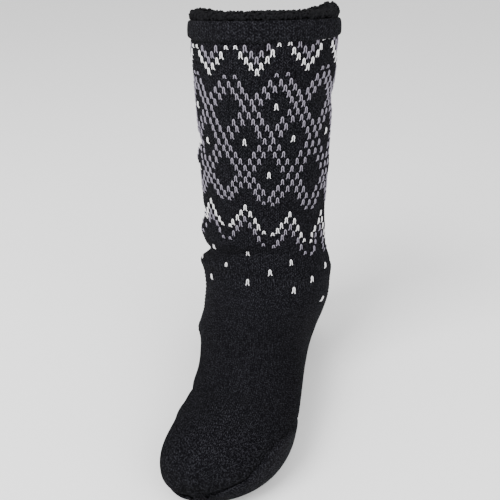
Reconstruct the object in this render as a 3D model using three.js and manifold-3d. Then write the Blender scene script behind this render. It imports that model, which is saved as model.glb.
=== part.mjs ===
// A left slipper sock of thick knitwear, standing empty on its sole. Millimetres, +Z up, the toe towards
// -Y and the little toe's side towards +X. The origin is on the floor under the middle of the heel. The
// knitted upper is one hollow tube that runs from the collar down the leg, round the heel and out to the
// toe. A cupped sole closes it underneath, a ribbed cuff wraps its top, and a pile lining rolls over the
// rim.
import * as THREE from "three";
import Module from "manifold-3d";
import { mergeVertices } from "three/addons/utils/BufferGeometryUtils.js";

const wasm = await Module();
wasm.setup();

// Main sizes of the foot and the leg
const FOOT_LENGTH = 254; // back of the heel to the tip of the toe
const BALL_WIDTH = 82; // across the ball of the empty foot
const HEEL_WIDTH = 92; // across the heel
const INSTEP_HEIGHT = 90; // floor to the bend in front of the ankle
const SHAFT_HEIGHT = 282; // floor to the top edge of the knitted leg
const LEG_WIDTH = 110; // side to side, a little under the cuff
const LEG_DEPTH = 101; // front to back, a little under the cuff
const TOE_TIP_HEIGHT = 17; // floor to the foremost point of the toe

// Walls, layers and clearances
const KNIT_WALL = 4.5; // knit with its bonded backing
const SOLE_THICKNESS = 6; // thick knitted sole, floor to its inner face
const SOLE_STEP = 0.7; // how far the sole stands proud of the upper at their seam
const SEAM_RISE = 35; // highest point of the sole's edge above the floor
const INSOLE_THICKNESS = 3.5;
const CUFF_HEIGHT = 12;
const CUFF_THICKNESS = 3.2;
const PILE_THICKNESS = 4; // lining at the collar
const PILE_DEPTH = 46; // how far the lining reaches down inside the leg
const ROLL_HEIGHT = 3.6; // how far the rolled lining stands above the knitted leg
const FOLD_DEPTH = 6; // the unit in which creases and swells are given
const FIT_GAP = 0.3; // clearance between pieces that touch
const LIP_GAP = 3 * FIT_GAP; // clearance between the sloping lip of the leg and the roll over it

// Places worked out from the sizes
const HEEL_BACK_Y = 0.15 * FOOT_LENGTH;
const LEG_AXIS_AT = 0.205 * FOOT_LENGTH;
const ANKLE_FRONT_AT = LEG_AXIS_AT + 0.46 * LEG_DEPTH;
const TOE_BASE_AT = 0.74 * FOOT_LENGTH;
const TOE_LENGTH = FOOT_LENGTH - TOE_BASE_AT;
const TOE_BASE_TOP = 0.585 * INSTEP_HEIGHT;
const BALL_ASIDE = 0.061 * BALL_WIDTH; // the ball lies this far towards the little toe
const TOE_TURN = -0.207 * BALL_WIDTH; // from there the tip swings back towards the big toe

const SEGMENTS = 36; // points round a section
const FLOOR_DIP = -1; // the tube dips this far below the floor, and the floor trims it flat

// Sections across the leg, from the collar down. up is a share of the leg above the instep, wide and deep
// are shares of LEG_WIDTH and LEG_DEPTH, and lean is a share of LEG_DEPTH towards the toe. fore and side
// tip the section up towards the toe and the little toe, in shares of its half-depth and half-width.
const SHAFT_SECTIONS = [
  { up: 1.004, wide: 0.95, deep: 0.985, lean: 0.0, fore: 0.12, side: 0.035 },
  { up: 0.9, wide: 0.97, deep: 1.0, lean: 0.0, fore: 0.06, side: 0.03 },
  { up: 0.72, wide: 0.937, deep: 0.97, lean: 0.0, fore: 0.045, side: 0.02 },
  { up: 0.56, wide: 0.917, deep: 0.95, lean: -0.005, fore: 0.03, side: 0.01 },
  { up: 0.4, wide: 0.903, deep: 0.93, lean: -0.01, fore: 0.015, side: 0.0 },
  { up: 0.25, wide: 0.889, deep: 0.915, lean: -0.005, fore: 0.0, side: 0.0 },
];

// Ten sections that fan round the ankle and march down the foot, each one place in every row of this
// table. topAt is a share of the way from the front of the ankle to the toe tip, soleAt is a share of
// FOOT_LENGTH from the heel's back, topUp and soleUp are shares of INSTEP_HEIGHT, and leg, heel and ball
// share out the width. aside is a share of BALL_WIDTH towards the little toe. topRound and soleRound are
// superellipse powers, where 2 is an ellipse.
const FOOT_SECTIONS = {
  topAt: [0.0, 0.012, 0.035, 0.068, 0.108, 0.152, 0.205, 0.27, 0.36, 0.47],
  topUp: [1.25, 1.11, 1.02, 0.96, 0.915, 0.87, 0.825, 0.775, 0.71, 0.645],
  soleAt: [0.046, 0.036, 0.013, 0.0, 0.012, 0.066, 0.2, 0.37, 0.52, 0.64],
  soleUp: [1.2, 0.94, 0.66, 0.38, 0.14, -0.01, -0.012, 0.022, 0.026, -0.005],
  leg: [0.891, 0.933, 0.42, 0.1, 0, 0, 0, 0, 0, 0],
  heel: [0, 0, 0.641, 1.004, 1.083, 1.028, 0.97, 0.5, 0.2, 0],
  ball: [0, 0, 0, 0, 0, 0, 0, 0.449, 0.746, 0.983],
  aside: [0.016, 0.026, 0.034, 0.04, 0.018, -0.01, -0.012, 0.027, 0.062, 0.068],
  topRound: [2, 2, 2, 2, 2, 2, 2, 2, 2.05, 2.1],
  soleRound: [2, 2.1, 2.2, 2.3, 2.5, 2.8, 3.2, 3.4, 3.4, 3.2],
};

// Upright sections of the toe at shares of TOE_LENGTH, and the powers of the curves that close it
const TOE_STATIONS = [0, 0.2, 0.4, 0.57, 0.71, 0.82, 0.9, 0.955, 0.988];
const TOE_POWERS = { wide: 3.5, high: 2.3, low: 4, turn: 1.75 };
const TOE_TOP_ROUND = { base: 2.1, tip: 2.3 };
const TOE_SOLE_ROUND = { base: 3.0, tip: 2.2 };

// Height of the sole's edge along each side, as shares of SEAM_RISE, at shares of FOOT_LENGTH
const SEAM_TABLE = [
  { at: -0.1, little: 0.39, big: 0.39 },
  { at: 0.15, little: 0.375, big: 0.375 },
  { at: 0.4, little: 0.315, big: 0.325 },
  { at: 0.6, little: 0.365, big: 0.315 },
  { at: 0.72, little: 0.62, big: 0.325 },
  { at: 0.8, little: 0.92, big: 0.325 },
  { at: 0.85, little: 1.0, big: 0.325 },
  { at: 0.89, little: 0.96, big: 0.325 },
  { at: 0.925, little: 0.83, big: 0.32 },
  { at: 0.96, little: 0.64, big: 0.315 },
  { at: 1.1, little: 0.4, big: 0.29 },
];
const SEAM_MESH = { along: 30, across: 9, side: BALL_WIDTH }; // strips of the cutting block, its half-width
const SEAM_BLEND = BALL_WIDTH / 3; // the two sides' heights blend within this distance of the middle

// Creases and swells of the slack knit. down is a share of the way from the collar (0) along the tube to
// the toe tip (1), round is in degrees from the little toe's side (0) by the front (90) to the big toe's
// (180), tall is a share of FOLD_DEPTH, long is a half-length along the tube in shares of LEG_WIDTH,
// spread is a half-width in degrees, and slant moves the fold down the tube, in shares of LEG_WIDTH per
// radian round it.
const FOLDS = [
  { down: 0.13, round: 0, tall: -0.2, long: 0.075, spread: 50, slant: 0.0 },
  { down: 0.209, round: 184, tall: -0.5, long: 0.05, spread: 46, slant: 0.03 },
  { down: 0.245, round: 178, tall: 0.34, long: 0.065, spread: 52, slant: 0.04 },
  { down: 0.25, round: 8, tall: 0.15, long: 0.1, spread: 40, slant: 0.0 },
  { down: 0.342, round: 180, tall: -0.45, long: 0.045, spread: 44, slant: -0.03 },
  { down: 0.382, round: 176, tall: 0.5, long: 0.06, spread: 54, slant: 0.02 },
  { down: 0.418, round: 150, tall: -0.9, long: 0.048, spread: 72, slant: 0.085 },
  { down: 0.448, round: 152, tall: 0.55, long: 0.06, spread: 66, slant: 0.06 },
  { down: 0.39, round: 16, tall: -0.5, long: 0.05, spread: 26, slant: -0.5 },
  { down: 0.45, round: -10, tall: 0.4, long: 0.09, spread: 42, slant: -0.1 },
  { down: 0.56, round: 112, tall: -0.24, long: 0.06, spread: 54, slant: 0.03 },
  { down: 0.32, round: 270, tall: -0.45, long: 0.055, spread: 50, slant: 0.04 },
  { down: 0.37, round: 280, tall: 0.4, long: 0.065, spread: 52, slant: 0.02 },
  { down: 0.42, round: 265, tall: -0.5, long: 0.055, spread: 48, slant: -0.03 },
  { down: 0.63, round: 160, tall: 0.25, long: 0.08, spread: 34, slant: 0.0 },
  { down: 0.81, round: 176, tall: -0.42, long: 0.05, spread: 36, slant: 0.03 },
  { down: 0.865, round: 176, tall: 0.25, long: 0.07, spread: 40, slant: 0.03 },
  { down: 0.9, round: 74, tall: -0.36, long: 0.07, spread: 17, slant: 0.55 },
];

// Outline of the cuff: down is a share of CUFF_HEIGHT from the collar, out is a share of CUFF_THICKNESS
const CUFF_PROFILE = [
  { down: 0.97, out: 0.0 },
  { down: 1.0, out: 0.4 },
  { down: 0.9, out: 0.86 },
  { down: 0.62, out: 1.0 },
  { down: 0.3, out: 1.0 },
  { down: 0.09, out: 0.84 },
  { down: 0.0, out: 0.42 },
  { down: 0.03, out: 0.0 },
];

// Outline of the lining's rolled edge: up is a share of ROLL_HEIGHT above the collar, out is a share of
// CUFF_THICKNESS off the knit's outer face, in is a share of KNIT_WALL plus PILE_THICKNESS inwards from it
const ROLL_PROFILE = [
  { up: 0.06, out: 0.1, in: 0 },
  { up: 0.35, out: 0.6, in: 0 },
  { up: 0.78, out: 0.4, in: 0 },
  { up: 1.0, out: 0, in: 0.25 },
  { up: 0.85, out: 0, in: 0.78 },
  { up: 0.3, out: 0, in: 1.1 },
];

// Rows of the lining's outer face below the collar, as shares of PILE_DEPTH
const PILE_STEPS = [1, 0.75, 0.5, 0.25];

// Lumps where the roll bunches up: round and spread in degrees, tall as a share of ROLL_HEIGHT
const ROLL_LUMPS = [
  { round: -24, tall: 1.6, spread: 24 },
  { round: 186, tall: 0.85, spread: 26 },
];

// Sections of the tube are cut this close together, in shares of its length, closest where the knit creases
const ZONES = [
  { until: 0.2, step: 0.03 },
  { until: 0.62, step: 0.0152 },
  { until: 0.86, step: 0.024 },
  { until: 0.97, step: 0.021 },
  { until: 1.0, step: 0.011 },
];

const radians = THREE.MathUtils.degToRad;
const between = (a, b, t) => a + (b - a) * t;

// Every section comes down to the same numbers, blended along the tube under these names
const SECTION_KEYS = [
  "topY", "topZ", "soleY", "soleZ", "halfWidth", "aside", "topRound", "soleRound", "side",
];

function shaftStation(row) {
  const middle = HEEL_BACK_Y - LEG_AXIS_AT - row.lean * LEG_DEPTH;
  const z = between(INSTEP_HEIGHT, SHAFT_HEIGHT, row.up);
  const halfDepth = (row.deep * LEG_DEPTH) / 2;
  return {
    topY: middle - halfDepth,
    topZ: z + row.fore * halfDepth,
    soleY: middle + halfDepth,
    soleZ: z - row.fore * halfDepth,
    halfWidth: (row.wide * LEG_WIDTH) / 2,
    aside: 0,
    topRound: 2,
    soleRound: 2,
    side: row.side,
  };
}

function footStation(topAt, i) {
  const table = FOOT_SECTIONS;
  const width = table.leg[i] * LEG_WIDTH + table.heel[i] * HEEL_WIDTH + table.ball[i] * BALL_WIDTH;
  return {
    topY: HEEL_BACK_Y - between(ANKLE_FRONT_AT, FOOT_LENGTH, topAt),
    topZ: table.topUp[i] * INSTEP_HEIGHT,
    soleY: HEEL_BACK_Y - table.soleAt[i] * FOOT_LENGTH,
    soleZ: table.soleUp[i] * INSTEP_HEIGHT,
    halfWidth: width / 2,
    aside: table.aside[i] * BALL_WIDTH,
    topRound: table.topRound[i],
    soleRound: table.soleRound[i],
    side: 0,
  };
}

function toeStation(share) {
  const y = HEEL_BACK_Y - TOE_BASE_AT - share * TOE_LENGTH;
  const closing = (power) => Math.sqrt(1 - share ** power);
  return {
    topY: y,
    topZ: between(TOE_TIP_HEIGHT, TOE_BASE_TOP, closing(TOE_POWERS.high)),
    soleY: y,
    soleZ: between(TOE_TIP_HEIGHT, FLOOR_DIP, closing(TOE_POWERS.low)),
    halfWidth: (BALL_WIDTH / 2) * closing(TOE_POWERS.wide),
    aside: BALL_ASIDE + TOE_TURN * share ** TOE_POWERS.turn,
    topRound: between(TOE_TOP_ROUND.base, TOE_TOP_ROUND.tip, share),
    soleRound: between(TOE_SOLE_ROUND.base, TOE_SOLE_ROUND.tip, share),
    side: 0,
  };
}

const stations = [
  ...SHAFT_SECTIONS.map(shaftStation),
  ...FOOT_SECTIONS.topAt.map(footStation),
  ...TOE_STATIONS.map(toeStation),
];

const middleOf = (s) => new THREE.Vector2((s.topY + s.soleY) / 2, (s.topZ + s.soleZ) / 2);

// How far along the middle of the tube each station lies
const reach = [0];
for (let i = 1; i < stations.length; i++) {
  reach.push(reach[i - 1] + middleOf(stations[i]).distanceTo(middleOf(stations[i - 1])));
}
const TUBE_LENGTH = reach[reach.length - 1];

// The section at any distance along the tube, by a smooth curve through the stations
function sectionAt(distance) {
  let i = 0;
  while (i < reach.length - 2 && distance > reach[i + 1]) i++;
  const span = reach[i + 1] - reach[i];
  const t = (distance - reach[i]) / span;
  const before = Math.max(i - 1, 0);
  const after = Math.min(i + 2, reach.length - 1);
  const made = {};
  for (const key of SECTION_KEYS) {
    const a = stations[i][key];
    const b = stations[i + 1][key];
    const slopeA = ((b - stations[before][key]) / (reach[i + 1] - reach[before])) * span;
    const slopeB = ((stations[after][key] - a) / (reach[after] - reach[i])) * span;
    made[key] =
      a * (2 * t ** 3 - 3 * t ** 2 + 1) +
      slopeA * (t ** 3 - 2 * t ** 2 + t) +
      b * (3 * t ** 2 - 2 * t ** 3) +
      slopeB * (t ** 3 - t ** 2);
  }
  return made;
}

// A point of the smooth tube, round the section that lies at a distance along it
function tubePoint(distance, angle) {
  const s = sectionAt(distance);
  const power = 2 / (Math.sin(angle) > 0 ? s.topRound : s.soleRound);
  const across = Math.sign(Math.cos(angle)) * Math.abs(Math.cos(angle)) ** power;
  const up = Math.sign(Math.sin(angle)) * Math.abs(Math.sin(angle)) ** power;
  return new THREE.Vector3(
    s.aside + s.halfWidth * across,
    (s.topY + s.soleY) / 2 + ((s.topY - s.soleY) / 2) * up,
    (s.topZ + s.soleZ) / 2 + ((s.topZ - s.soleZ) / 2) * up + s.side * s.halfWidth * across,
  );
}

// The turn from the middle of a fold or lump to an angle, the short way round
function turnFrom(angle, degrees) {
  const turn = angle - radians(degrees);
  return Math.atan2(Math.sin(turn), Math.cos(turn));
}

// How far the slack knit stands out of the smooth tube, or dips into it
function foldOut(distance, angle) {
  let out = 0;
  for (const fold of FOLDS) {
    const turn = turnFrom(angle, fold.round);
    const along = distance - fold.down * TUBE_LENGTH - fold.slant * LEG_WIDTH * turn;
    const near = along / (fold.long * LEG_WIDTH);
    const beside = turn / radians(fold.spread);
    out += fold.tall * FOLD_DEPTH * Math.exp(-near * near - beside * beside);
  }
  return out;
}

// The outward direction of the smooth tube at a point, by small steps along and round it
const STEP_ALONG = 0.5;
const STEP_ROUND = 0.01;
function outward(distance, angle) {
  const ahead = tubePoint(Math.min(distance + STEP_ALONG, TUBE_LENGTH), angle);
  const behind = tubePoint(Math.max(distance - STEP_ALONG, 0), angle);
  const left = tubePoint(distance, angle + STEP_ROUND);
  const right = tubePoint(distance, angle - STEP_ROUND);
  return left.sub(right).cross(ahead.sub(behind)).normalize();
}

// A point of the knitted surface, moved out along its normal
function knitPoint(distance, angle, offset) {
  const out = offset + foldOut(distance, angle);
  return tubePoint(distance, angle).addScaledVector(outward(distance, angle), out);
}

function ringDistances() {
  const made = [0];
  let share = 0;
  for (const zone of ZONES) {
    const count = Math.max(1, Math.round((zone.until - share) / zone.step));
    const step = (zone.until - share) / count;
    for (let i = 1; i <= count; i++) made.push((share + i * step) * TUBE_LENGTH);
    share = zone.until;
  }
  return made;
}

// A closed solid from points and the corners of its triangles, turned right side out if need be
function solidOf(points, faces) {
  const made = new wasm.Manifold(
    new wasm.Mesh({
      numProp: 3,
      vertProperties: new Float32Array(points.flatMap((p) => [p.x, p.y, p.z])),
      triVerts: new Uint32Array(faces),
    }),
  );
  return made.volume() > 0 ? made : solidOf(points, faces.slice().reverse());
}

// A closed solid from rings of points, with a middle point over each end
function loft(rings) {
  const count = rings[0].length;
  const middle = (ring) => ring.reduce((sum, p) => sum.add(p), new THREE.Vector3()).divideScalar(ring.length);
  const points = [...rings.flat(), middle(rings[0]), middle(rings[rings.length - 1])];
  const first = points.length - 2;
  const last = points.length - 1;
  const lastRing = (rings.length - 1) * count;
  const faces = [];
  for (let j = 0; j < count; j++) {
    const k = (j + 1) % count;
    for (let row = 0; row < lastRing; row += count) {
      faces.push(row + j, row + k, row + count + k);
      faces.push(row + j, row + count + k, row + count + j);
    }
    faces.push(first, k, j);
    faces.push(last, lastRing + j, lastRing + k);
  }
  return solidOf(points, faces);
}

// A closed band from rows of points that each run round the leg, the last row joining the first
function band(rows) {
  const count = rows[0].length;
  const faces = [];
  for (let i = 0; i < rows.length; i++) {
    const row = i * count;
    const next = ((i + 1) % rows.length) * count;
    for (let j = 0; j < count; j++) {
      const k = (j + 1) % count;
      faces.push(row + j, row + k, next + k);
      faces.push(row + j, next + k, next + j);
    }
  }
  return solidOf(rows.flat(), faces);
}

function boxSolid(low, high) {
  const size = new THREE.Vector3().subVectors(high, low);
  const box = new THREE.BoxGeometry(size.x, size.y, size.z);
  box.translate(low.x + size.x / 2, low.y + size.y / 2, low.z + size.z / 2);
  box.deleteAttribute("normal");
  box.deleteAttribute("uv");
  const merged = mergeVertices(box);
  return new wasm.Manifold(
    new wasm.Mesh({
      numProp: 3,
      vertProperties: merged.attributes.position.array,
      triVerts: new Uint32Array(merged.index.array),
    }),
  );
}

const angles = Array.from({ length: SEGMENTS }, (_, j) => (2 * Math.PI * j) / SEGMENTS);
const FAR = 2 * (FOOT_LENGTH + SHAFT_HEIGHT); // wider than the whole shoe
const HEADROOM = 4 * KNIT_WALL; // how far the tool that hollows the leg pokes out of its mouth

const lifted = (points, height) => points.map((p) => new THREE.Vector3(p.x, p.y, p.z + height));

// A level slice of space between two heights
const slab = (low, high) => boxSolid(new THREE.Vector3(-FAR, -FAR, low), new THREE.Vector3(FAR, FAR, high));

// The tube of the shoe, with its skin moved out by offset, and its mouth raised by headroom
function tube(offset, headroom = 0) {
  const rings = ringDistances().map((distance) => angles.map((angle) => knitPoint(distance, angle, offset)));
  if (headroom) rings.unshift(lifted(rings[0], headroom));
  return loft(rings);
}

// Height of the seam at a place, blended between the two sides of the table
function seamHeight(at, x) {
  let i = 0;
  while (i < SEAM_TABLE.length - 2 && at > SEAM_TABLE[i + 1].at) i++;
  const low = SEAM_TABLE[i];
  const high = SEAM_TABLE[i + 1];
  const t = THREE.MathUtils.smoothstep(at, low.at, high.at);
  const side = THREE.MathUtils.smoothstep(x, -SEAM_BLEND, SEAM_BLEND);
  return SEAM_RISE * between(between(low.big, high.big, t), between(low.little, high.little, t), side);
}

// A block that fills everything below the seam, up to a height above it
function belowSeam(above) {
  const { along, across, side } = SEAM_MESH;
  const start = SEAM_TABLE[0].at;
  const end = SEAM_TABLE[SEAM_TABLE.length - 1].at;
  const rings = [];
  for (let i = 0; i <= along; i++) {
    const at = between(start, end, i / along);
    const y = HEEL_BACK_Y - at * FOOT_LENGTH;
    const ring = [new THREE.Vector3(-side, y, -SEAM_RISE)];
    for (let j = 0; j <= across; j++) {
      const x = between(-side, side, j / across);
      ring.push(new THREE.Vector3(x, y, seamHeight(at, x) + above));
    }
    ring.push(new THREE.Vector3(side, y, -SEAM_RISE));
    rings.push(ring);
  }
  return loft(rings);
}

function upperSolid() {
  const inside = tube(-KNIT_WALL, HEADROOM);
  return tube(0).subtract(inside).subtract(belowSeam(FIT_GAP / 2)).intersect(slab(0, FAR));
}

function soleSolid() {
  const inside = tube(-KNIT_WALL, HEADROOM).intersect(slab(SOLE_THICKNESS, FAR));
  return tube(SOLE_STEP).intersect(belowSeam(-FIT_GAP / 2)).intersect(slab(0, FAR)).subtract(inside);
}

function insoleSolid() {
  const low = SOLE_THICKNESS + FIT_GAP;
  return tube(-KNIT_WALL - FIT_GAP).intersect(slab(low, low + INSOLE_THICKNESS));
}

// A row of points round the leg at a distance down from the collar, off the knit by offset
const legRow = (down, offset) => angles.map((angle) => knitPoint(down, angle, offset));

// The ribbed cuff: a turned band, rounded at its top and bottom edges, that hugs the top of the leg
function cuffSolid() {
  return band(
    CUFF_PROFILE.map((row) => legRow(row.down * CUFF_HEIGHT, FIT_GAP + row.out * CUFF_THICKNESS)),
  );
}

// How tall the roll stands at each angle, as a share of ROLL_HEIGHT
function rollTall(angle) {
  let tall = 1;
  for (const lump of ROLL_LUMPS) {
    const beside = turnFrom(angle, lump.round) / radians(lump.spread);
    tall += lump.tall * Math.exp(-beside * beside);
  }
  return tall;
}

// The pile lining: a skirt inside the leg whose rolled edge lies over the leg's top edge and the cuff's
function liningSolid() {
  const inside = -KNIT_WALL - FIT_GAP;
  const roll = ROLL_PROFILE.map((row) => {
    const offset = row.out * CUFF_THICKNESS - row.in * (KNIT_WALL + PILE_THICKNESS);
    return legRow(0, offset).map((p, j) => {
      const height = LIP_GAP + row.up * ROLL_HEIGHT * rollTall(angles[j]);
      return new THREE.Vector3(p.x, p.y, p.z + height);
    });
  });
  return band([
    ...PILE_STEPS.map((share) => legRow(share * PILE_DEPTH, inside)),
    lifted(legRow(0, inside), LIP_GAP),
    ...roll,
    legRow(PILE_DEPTH / 2, inside - PILE_THICKNESS),
    legRow(PILE_DEPTH, inside - PILE_THICKNESS),
  ]);
}

function meshOf(name, solid, color) {
  const made = solid.getMesh();
  const geometry = new THREE.BufferGeometry();
  geometry.setAttribute("position", new THREE.BufferAttribute(made.vertProperties, 3));
  geometry.setIndex(new THREE.BufferAttribute(made.triVerts, 1));
  geometry.computeVertexNormals();
  const mesh = new THREE.Mesh(geometry, new THREE.MeshStandardMaterial({ color, roughness: 0.95 }));
  mesh.name = name;
  return mesh;
}

const YARN_COLOR = 0x26262b;
const SOLE_COLOR = 0x232327;
const PILE_COLOR = 0x19191b;

const slipperSock = new THREE.Group();
slipperSock.add(
  meshOf("upper", upperSolid(), YARN_COLOR),
  meshOf("sole", soleSolid(), SOLE_COLOR),
  meshOf("cuff", cuffSolid(), YARN_COLOR),
  meshOf("lining", liningSolid(), PILE_COLOR),
  meshOf("insole", insoleSolid(), PILE_COLOR),
);

export default slipperSock;
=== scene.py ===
# %% [markdown]
# # A knitted slipper sock
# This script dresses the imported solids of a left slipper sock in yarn. The sock is one knitted tube that
# runs down the leg, turns round the heel and closes at the toe. A thick sole closes it underneath, a ribbed
# cuff is turned over its top, and black pile rolls over the rim.
#
# Everything is in metres, in the frame of the solids: Z is up, the toe points towards -Y, and the little
# toe's side is +X.

import math

import bmesh
import bpy
import numpy as np
from mathutils import Matrix, Vector


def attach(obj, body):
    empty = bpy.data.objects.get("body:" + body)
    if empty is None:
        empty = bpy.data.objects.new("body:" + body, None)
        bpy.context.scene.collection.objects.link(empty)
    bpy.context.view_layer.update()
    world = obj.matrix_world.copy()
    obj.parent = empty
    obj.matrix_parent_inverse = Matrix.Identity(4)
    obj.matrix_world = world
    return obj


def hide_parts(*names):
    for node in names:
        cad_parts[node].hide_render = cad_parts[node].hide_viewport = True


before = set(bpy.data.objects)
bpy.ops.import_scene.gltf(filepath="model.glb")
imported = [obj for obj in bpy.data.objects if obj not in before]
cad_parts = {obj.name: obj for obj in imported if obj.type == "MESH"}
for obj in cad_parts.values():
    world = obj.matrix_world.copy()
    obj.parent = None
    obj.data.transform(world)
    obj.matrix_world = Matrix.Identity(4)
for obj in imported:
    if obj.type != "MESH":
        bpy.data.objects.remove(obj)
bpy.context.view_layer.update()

# %% [markdown]
# ## The shape of the tube
# A knitted shape has no hard parts, so the whole sock is described by sections: closed curves across the
# leg and foot, from the collar to the toe tip. Each section is two half superellipses, and a smooth curve
# runs through them. It could be modelled by pushing points about, but then the solids and the yarn would
# drift apart. Here the same numbers made the solids, so the yarn lies exactly where the solid's skin is.
# They are given as shares of a few real sizes, because a share still makes sense when a size changes.

# %% Main sizes, in metres
MM = 0.001
FOOT_LENGTH = 254 * MM
BALL_WIDTH = 82 * MM
HEEL_WIDTH = 92 * MM
INSTEP_HEIGHT = 90 * MM
SHAFT_HEIGHT = 282 * MM
LEG_WIDTH = 110 * MM
LEG_DEPTH = 101 * MM
TOE_TIP_HEIGHT = 17 * MM
KNIT_WALL = 4.5 * MM
SOLE_THICKNESS = 6 * MM
SOLE_STEP = 0.7 * MM
SEAM_RISE = 35 * MM
CUFF_HEIGHT = 12 * MM
CUFF_THICKNESS = 3.2 * MM
PILE_THICKNESS = 4 * MM
PILE_DEPTH = 46 * MM
ROLL_HEIGHT = 3.6 * MM
FOLD_DEPTH = 6 * MM
FIT_GAP = 0.3 * MM
LIP_GAP = 0.9 * MM
FLOOR_DIP = -1 * MM

HEEL_BACK_Y = 0.15 * FOOT_LENGTH
LEG_AXIS_AT = 0.205 * FOOT_LENGTH
ANKLE_FRONT_AT = LEG_AXIS_AT + 0.46 * LEG_DEPTH
TOE_BASE_AT = 0.74 * FOOT_LENGTH
TOE_LENGTH = FOOT_LENGTH - TOE_BASE_AT
TOE_BASE_TOP = 0.585 * INSTEP_HEIGHT
BALL_ASIDE = 0.061 * BALL_WIDTH
TOE_TURN = -0.207 * BALL_WIDTH
print("foot", round(FOOT_LENGTH / MM), "mm long, leg", round(SHAFT_HEIGHT / MM), "mm high")

# %% Sections across the leg, foot and toe
# up, wide, deep, lean, fore, side
SHAFT_SECTIONS = np.array([
    (1.004, 0.95, 0.985, 0.0, 0.12, 0.035),
    (0.9, 0.97, 1.0, 0.0, 0.06, 0.03),
    (0.72, 0.937, 0.97, 0.0, 0.045, 0.02),
    (0.56, 0.917, 0.95, -0.005, 0.03, 0.01),
    (0.4, 0.903, 0.93, -0.01, 0.015, 0.0),
    (0.25, 0.889, 0.915, -0.005, 0.0, 0.0),
])
FOOT_SECTIONS = {
    "top_at": [0.0, 0.012, 0.035, 0.068, 0.108, 0.152, 0.205, 0.27, 0.36, 0.47],
    "top_up": [1.25, 1.11, 1.02, 0.96, 0.915, 0.87, 0.825, 0.775, 0.71, 0.645],
    "sole_at": [0.046, 0.036, 0.013, 0.0, 0.012, 0.066, 0.2, 0.37, 0.52, 0.64],
    "sole_up": [1.2, 0.94, 0.66, 0.38, 0.14, -0.01, -0.012, 0.022, 0.026, -0.005],
    "leg": [0.891, 0.933, 0.42, 0.1, 0, 0, 0, 0, 0, 0],
    "heel": [0, 0, 0.641, 1.004, 1.083, 1.028, 0.97, 0.5, 0.2, 0],
    "ball": [0, 0, 0, 0, 0, 0, 0, 0.449, 0.746, 0.983],
    "aside": [0.016, 0.026, 0.034, 0.04, 0.018, -0.01, -0.012, 0.027, 0.062, 0.068],
    "top_round": [2, 2, 2, 2, 2, 2, 2, 2, 2.05, 2.1],
    "sole_round": [2, 2.1, 2.2, 2.3, 2.5, 2.8, 3.2, 3.4, 3.4, 3.2],
}
TOE_STATIONS = np.array([0, 0.2, 0.4, 0.57, 0.71, 0.82, 0.9, 0.955, 0.988])
TOE_POWERS = {"wide": 3.5, "high": 2.3, "low": 4, "turn": 1.75}
TOE_TOP_ROUND = (2.1, 2.3)
TOE_SOLE_ROUND = (3.0, 2.2)
print("sections", len(SHAFT_SECTIONS) + len(FOOT_SECTIONS["top_at"]) + len(TOE_STATIONS))

# %% Where the slack knit creases and swells
# down is a share of the tube's length, tall of FOLD_DEPTH, long and slant of LEG_WIDTH. round and spread
# are degrees round the tube. A negative tall is a crease.
# down, round, tall, long, spread, slant
FOLDS = np.array([
    (0.13, 0, -0.2, 0.075, 50, 0.0),
    (0.209, 184, -0.5, 0.05, 46, 0.03),
    (0.245, 178, 0.34, 0.065, 52, 0.04),
    (0.25, 8, 0.15, 0.1, 40, 0.0),
    (0.342, 180, -0.45, 0.045, 44, -0.03),
    (0.382, 176, 0.5, 0.06, 54, 0.02),
    (0.418, 150, -0.9, 0.048, 72, 0.085),
    (0.448, 152, 0.55, 0.06, 66, 0.06),
    (0.39, 16, -0.5, 0.05, 26, -0.5),
    (0.45, -10, 0.4, 0.09, 42, -0.1),
    (0.56, 112, -0.24, 0.06, 54, 0.03),
    (0.32, 270, -0.45, 0.055, 50, 0.04),
    (0.37, 280, 0.4, 0.065, 52, 0.02),
    (0.42, 265, -0.5, 0.055, 48, -0.03),
    (0.63, 160, 0.25, 0.08, 34, 0.0),
    (0.81, 176, -0.42, 0.05, 36, 0.03),
    (0.865, 176, 0.25, 0.07, 40, 0.03),
    (0.9, 74, -0.36, 0.07, 17, 0.55),
])
print("creases", int((FOLDS[:, 2] < 0).sum()), "swellings", int((FOLDS[:, 2] > 0).sum()))

# %% Stations: every section in the same nine numbers
def blend(a, b, t):
    return a + (b - a) * t


def shaft_stations():
    up, wide, deep, lean, fore, side = SHAFT_SECTIONS.T
    middle = HEEL_BACK_Y - LEG_AXIS_AT - lean * LEG_DEPTH
    z = blend(INSTEP_HEIGHT, SHAFT_HEIGHT, up)
    half = deep * LEG_DEPTH / 2
    two = np.full(len(up), 2.0)
    return np.stack([middle - half, z + fore * half, middle + half, z - fore * half,
                     wide * LEG_WIDTH / 2, 0 * up, two, two, side], axis=1)


def foot_stations():
    t = {key: np.array(row, dtype=float) for key, row in FOOT_SECTIONS.items()}
    width = t["leg"] * LEG_WIDTH + t["heel"] * HEEL_WIDTH + t["ball"] * BALL_WIDTH
    return np.stack([
        HEEL_BACK_Y - blend(ANKLE_FRONT_AT, FOOT_LENGTH, t["top_at"]),
        t["top_up"] * INSTEP_HEIGHT,
        HEEL_BACK_Y - t["sole_at"] * FOOT_LENGTH,
        t["sole_up"] * INSTEP_HEIGHT,
        width / 2, t["aside"] * BALL_WIDTH, t["top_round"], t["sole_round"], 0 * width], axis=1)


def toe_stations():
    s = TOE_STATIONS
    y = HEEL_BACK_Y - TOE_BASE_AT - s * TOE_LENGTH
    wide, high, low = (np.sqrt(1 - s ** TOE_POWERS[key]) for key in ("wide", "high", "low"))
    return np.stack([
        y, blend(TOE_TIP_HEIGHT, TOE_BASE_TOP, high), y, blend(TOE_TIP_HEIGHT, FLOOR_DIP, low),
        BALL_WIDTH / 2 * wide, BALL_ASIDE + TOE_TURN * s ** TOE_POWERS["turn"],
        blend(*TOE_TOP_ROUND, s), blend(*TOE_SOLE_ROUND, s), 0 * s], axis=1)


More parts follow.
